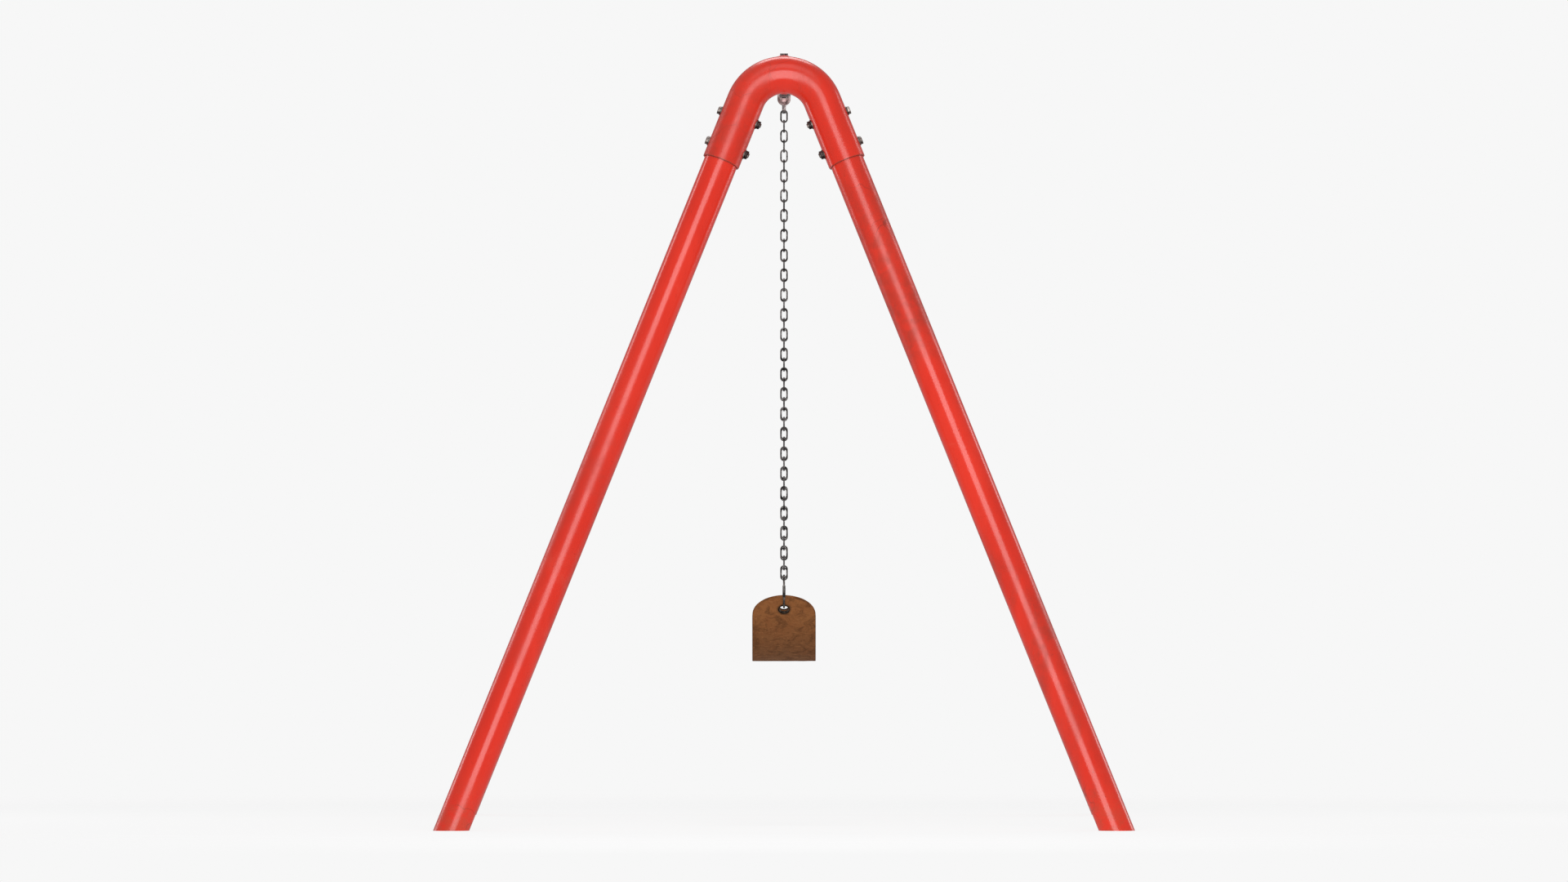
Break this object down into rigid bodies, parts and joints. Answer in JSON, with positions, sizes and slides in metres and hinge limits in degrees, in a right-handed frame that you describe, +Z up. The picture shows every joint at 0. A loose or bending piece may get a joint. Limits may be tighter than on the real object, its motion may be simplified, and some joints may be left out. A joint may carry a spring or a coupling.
{
  "type": "belt swing",
  "caption": "Free-standing playground swing with two leaning tube A-frames, a top rail, pivoting hangers, chains and a curved belt seat.",
  "frame": {"origin": "middle of the footprint, on the ground", "axes": "+X forward, the way the rider faces and swings; +Y to the rider's left, along the top rail; +Z up"},
  "size_m": [1.6654, 2.3112, 1.8446],
  "materials": {
    "leg_paint": "satin, weathered",
    "bend_paint": "satin, weathered",
    "rail_paint": "satin, weathered",
    "spigot_steel": "plain mill finish",
    "bolt_zinc": "bright zinc",
    "nut_steel": "dulled zinc",
    "washer_zinc": "bright zinc",
    "bracket_zinc": "dull cast zinc",
    "hanger_bolt_steel": "dulled zinc",
    "hanger_nut_steel": "dulled zinc",
    "pivot_zinc": "bright passivated zinc",
    "thrust_nylon": "moulded nylon",
    "pendulum_steel": "forged, zinc plated",
    "bushing_bronze": "sintered bronze",
    "chain_steel": "dulled zinc",
    "quick_link_steel": "dulled zinc",
    "sleeve_steel": "dulled zinc",
    "belt_rubber": "mottled, worn",
    "grommet_steel": "blackened"
  },
  "bodies": {
    "frame": {"leg_front_left": "leg_paint", "leg_rear_left": "leg_paint", "leg_front_right": "leg_paint", "leg_rear_right": "leg_paint", "foot_plates_left": "leg_paint", "foot_plates_right": "leg_paint", "bend_left": "bend_paint", "bend_right": "bend_paint", "rail_tube": "rail_paint", "spigot_left": "spigot_steel", "spigot_right": "spigot_steel", "leg_bolts_left": "bolt_zinc", "leg_bolts_right": "bolt_zinc", "leg_nuts_left": "nut_steel", "leg_nuts_right": "nut_steel", "leg_washers_left": "washer_zinc", "leg_washers_right": "washer_zinc", "rail_bolts": "bolt_zinc", "rail_nuts": "nut_steel", "rail_washers": "washer_zinc", "bracket_left": "bracket_zinc", "bracket_right": "bracket_zinc", "hanger_bolts_left": "hanger_bolt_steel", "hanger_bolts_right": "hanger_bolt_steel", "hanger_nuts_left": "hanger_nut_steel", "hanger_nuts_right": "hanger_nut_steel", "hanger_washers_left": "washer_zinc", "hanger_washers_right": "washer_zinc", "pivot_bolt_left": "pivot_zinc", "pivot_bolt_right": "pivot_zinc", "pivot_nut_left": "pivot_zinc", "pivot_nut_right": "pivot_zinc", "thrust_washers_left": "thrust_nylon", "thrust_washers_right": "thrust_nylon"},
    "pendulum_left": {"pendulum_left": "pendulum_steel", "bushing_left": "bushing_bronze"},
    "pendulum_right": {"pendulum_right": "pendulum_steel", "bushing_right": "bushing_bronze"},
    "chain_left": {"chain_left": "chain_steel"},
    "chain_right": {"chain_right": "chain_steel"},
    "link_left": {"quick_link_left": "quick_link_steel", "screw_sleeve_left": "sleeve_steel"},
    "link_right": {"quick_link_right": "quick_link_steel", "screw_sleeve_right": "sleeve_steel"},
    "seat": {"belt": "belt_rubber", "grommet_left": "grommet_steel", "grommet_right": "grommet_steel"}
  },
  "joints": [
    {"name": "swing_left", "type": "hinge", "parent": "frame", "child": "pendulum_left", "pos_m": [0, 0.23396, 1.7355], "axis": [0, -1, 0], "range_deg": [-60, 60]},
    {"name": "swing_right", "type": "hinge", "parent": "frame", "child": "pendulum_right", "pos_m": [0, -0.23396, 1.7355], "axis": [0, -1, 0], "range_deg": [-60, 60]},
    {"name": "sway_left", "type": "hinge", "parent": "pendulum_left", "child": "chain_left", "pos_m": [0, 0.23396, 1.708], "axis": [1, 0, 0], "range_deg": [-10, 10]},
    {"name": "sway_right", "type": "hinge", "parent": "pendulum_right", "child": "chain_right", "pos_m": [0, -0.23396, 1.708], "axis": [1, 0, 0], "range_deg": [-10, 10]},
    {"name": "link_tilt_left", "type": "hinge", "parent": "chain_left", "child": "link_left", "pos_m": [0, 0.23396, 0.5854], "axis": [1, 0, 0], "range_deg": [-10, 10]},
    {"name": "link_tilt_right", "type": "hinge", "parent": "chain_right", "child": "link_right", "pos_m": [0, -0.23396, 0.5854], "axis": [1, 0, 0], "range_deg": [-10, 10]},
    {"name": "seat_pitch", "type": "hinge", "parent": "link_left", "child": "seat", "pos_m": [0, 0.23396, 0.5194], "axis": [0, -1, 0], "range_deg": [-40, 40]}
  ],
  "couplings": [
    {"joint": "swing_right", "follows": "swing_left", "ratio": 1},
    {"joint": "sway_right", "follows": "sway_left", "ratio": 1},
    {"joint": "link_tilt_left", "follows": "sway_left", "ratio": -1},
    {"joint": "link_tilt_right", "follows": "sway_left", "ratio": -1}
  ]
}
